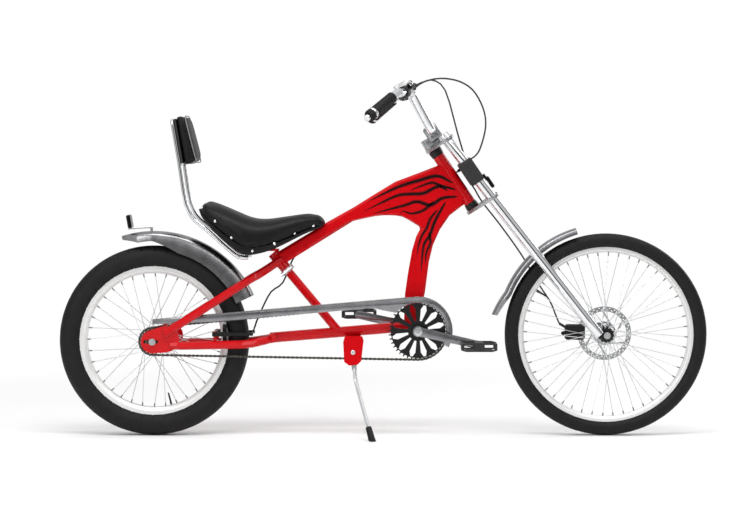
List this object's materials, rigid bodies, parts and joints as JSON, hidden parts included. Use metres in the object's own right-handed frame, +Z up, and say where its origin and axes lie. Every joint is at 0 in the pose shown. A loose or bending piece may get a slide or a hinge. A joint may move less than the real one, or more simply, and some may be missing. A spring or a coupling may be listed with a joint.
{
  "type": "fat tyre chopper bicycle",
  "caption": "Long-fork chopper cruiser bicycle with a fat rear tyre, curved red frame, padded seat and backrest, chain drive, brakes and kickstand, all jointed.",
  "frame": {"origin": "on the ground, under the middle of the bicycle's overall length and width", "axes": "+X forward, +Y to the rider's left, +Z up; the drive side is -Y"},
  "size_m": [1.911, 0.6652, 1.0522],
  "materials": {
    "frame_paint": "glossy red enamel",
    "chrome": "bright chrome plating",
    "dull_chrome": "smoked chrome plating",
    "silver_steel": "zinc-plated and polished steel",
    "rim_alloy": "bright anodised alloy",
    "lever_alloy": "polished alloy",
    "black_metal": "satin black paint",
    "black_plastic": "moulded, lightly textured",
    "cable_black": "extruded cable housing",
    "black_rubber": "moulded rubber",
    "tyre_rubber": "moulded tyre rubber",
    "black_vinyl": "grained vinyl over foam",
    "chain_steel": "oiled dark steel"
  },
  "bodies": {
    "frame_body": {"frame": "frame_paint", "seat_clamp": "silver_steel", "headset_cup_upper": "black_metal", "headset_cup_lower": "black_metal", "bottom_bracket_cartridge": "black_metal", "rear_axle_and_nuts": "silver_steel", "chain_guard": "dull_chrome", "chain": "chain_steel", "rear_fender": "dull_chrome", "rear_reflector": "black_plastic", "rear_reflector_bracket": "silver_steel", "seat_base": "black_plastic", "seat_cushion": "black_vinyl", "sissy_bar": "chrome", "backrest_plate": "black_plastic", "backrest_pad": "black_vinyl", "rear_brake_cable": "cable_black", "rear_brake_cable_crossover": "cable_black"},
    "steering": {"crown_upper": "chrome", "crown_lower_and_steerer": "chrome", "fork_leg_left": "chrome", "fork_leg_right": "chrome", "stem_clamp": "silver_steel", "handlebar": "chrome", "grip_left": "black_rubber", "grip_right": "black_rubber", "lever_perch_left": "black_plastic", "lever_perch_right": "black_plastic", "cable_guide_block": "black_plastic", "front_reflector": "black_plastic", "front_fender": "dull_chrome", "front_axle_and_nuts": "silver_steel", "caliper_body": "black_metal", "front_brake_cable_upper": "cable_black", "front_brake_cable_lower": "cable_black", "rear_brake_cable_upper": "cable_black"},
    "front_wheel": {"front_tyre": "tyre_rubber", "front_rim": "rim_alloy", "front_hub_and_spokes": "silver_steel", "brake_rotor": "silver_steel", "front_valve": "black_rubber"},
    "rear_wheel": {"rear_tyre": "tyre_rubber", "rear_rim": "rim_alloy", "rear_hub_and_spokes": "silver_steel", "rear_valve": "black_rubber"},
    "freewheel": {"freewheel_sprocket": "chain_steel"},
    "crank": {"crank_axle": "silver_steel", "crank_arm_right": "dull_chrome", "crank_arm_left": "dull_chrome", "chainring": "black_metal"},
    "right_pedal": {"pedal_right": "black_plastic"},
    "left_pedal": {"pedal_left": "black_plastic"},
    "kickstand": {"kickstand_leg": "silver_steel", "kickstand_foot": "black_rubber"},
    "left_brake_lever": {"brake_lever_left": "lever_alloy"},
    "right_brake_lever": {"brake_lever_right": "lever_alloy"},
    "front_caliper_arm": {"caliper_arm": "black_metal"},
    "right_brake_arm": {"rear_brake_arm_right": "black_metal"},
    "left_brake_arm": {"rear_brake_arm_left": "black_metal"}
  },
  "joints": [
    {"name": "steering_turn", "type": "hinge", "parent": "frame_body", "child": "steering", "pos_m": [0.16335, 0, 0.82388], "axis": [-0.5592, 0, 0.829], "range_deg": [-40, 40], "deforming": ["rear_brake_cable_crossover"]},
    {"name": "front_wheel_spin", "type": "hinge", "parent": "steering", "child": "front_wheel", "pos_m": [0.6575, 0, 0.298], "axis": [0, 1, 0], "continuous": true},
    {"name": "rear_wheel_spin", "type": "hinge", "parent": "frame_body", "child": "rear_wheel", "pos_m": [-0.6755, 0, 0.28], "axis": [0, 1, 0], "continuous": true},
    {"name": "crank_spin", "type": "hinge", "parent": "frame_body", "child": "crank", "pos_m": [0.10366, 0, 0.311], "axis": [0, 1, 0], "continuous": true, "deforming": ["chain"]},
    {"name": "freewheel_spin", "type": "hinge", "parent": "frame_body", "child": "freewheel", "pos_m": [-0.6755, -0.05, 0.28], "axis": [0, 1, 0], "continuous": true},
    {"name": "pedal_right_spin", "type": "hinge", "parent": "crank", "child": "right_pedal", "pos_m": [0.2794, -0.133, 0.27204], "axis": [0, 1, 0], "continuous": true},
    {"name": "pedal_left_spin", "type": "hinge", "parent": "crank", "child": "left_pedal", "pos_m": [-0.07207, 0.133, 0.34996], "axis": [0, 1, 0], "continuous": true},
    {"name": "brake_lever_right_pull", "type": "hinge", "parent": "steering", "child": "right_brake_lever", "pos_m": [0.08257, -0.172, 1.02971], "axis": [0.7467, -0.2169, -0.6288], "range_deg": [0, 18], "stiffness_Nm_per_rad": 0.5},
    {"name": "brake_lever_left_pull", "type": "hinge", "parent": "steering", "child": "left_brake_lever", "pos_m": [0.08257, 0.172, 1.02971], "axis": [-0.7467, -0.2169, 0.6288], "range_deg": [0, 18], "stiffness_Nm_per_rad": 0.5},
    {"name": "caliper_arm_swing", "type": "hinge", "parent": "steering", "child": "front_caliper_arm", "pos_m": [0.56, 0.0525, 0.3], "axis": [0, 1, 0], "range_deg": [0, 18]},
    {"name": "rear_brake_arm_right_swing", "type": "hinge", "parent": "frame_body", "child": "right_brake_arm", "pos_m": [-0.493, -0.05, 0.301], "axis": [0, 0, 1], "range_deg": [0, 2.2]},
    {"name": "rear_brake_arm_left_swing", "type": "hinge", "parent": "frame_body", "child": "left_brake_arm", "pos_m": [-0.493, 0.05, 0.301], "axis": [0, 0, 1], "range_deg": [-2.2, 0]},
    {"name": "kickstand_fold", "type": "hinge", "parent": "frame_body", "child": "kickstand", "pos_m": [-0.08733, -0.06, 0.2487], "axis": [0, 0.9962, -0.0872], "range_deg": [0, 95]}
  ],
  "couplings": [
    {"joint": "freewheel_spin", "follows": "crank_spin", "ratio": 2.1},
    {"joint": "caliper_arm_swing", "follows": "brake_lever_left_pull", "ratio": 1},
    {"joint": "rear_brake_arm_right_swing", "follows": "brake_lever_right_pull", "ratio": 0.1222},
    {"joint": "rear_brake_arm_left_swing", "follows": "brake_lever_right_pull", "ratio": -0.1222}
  ]
}
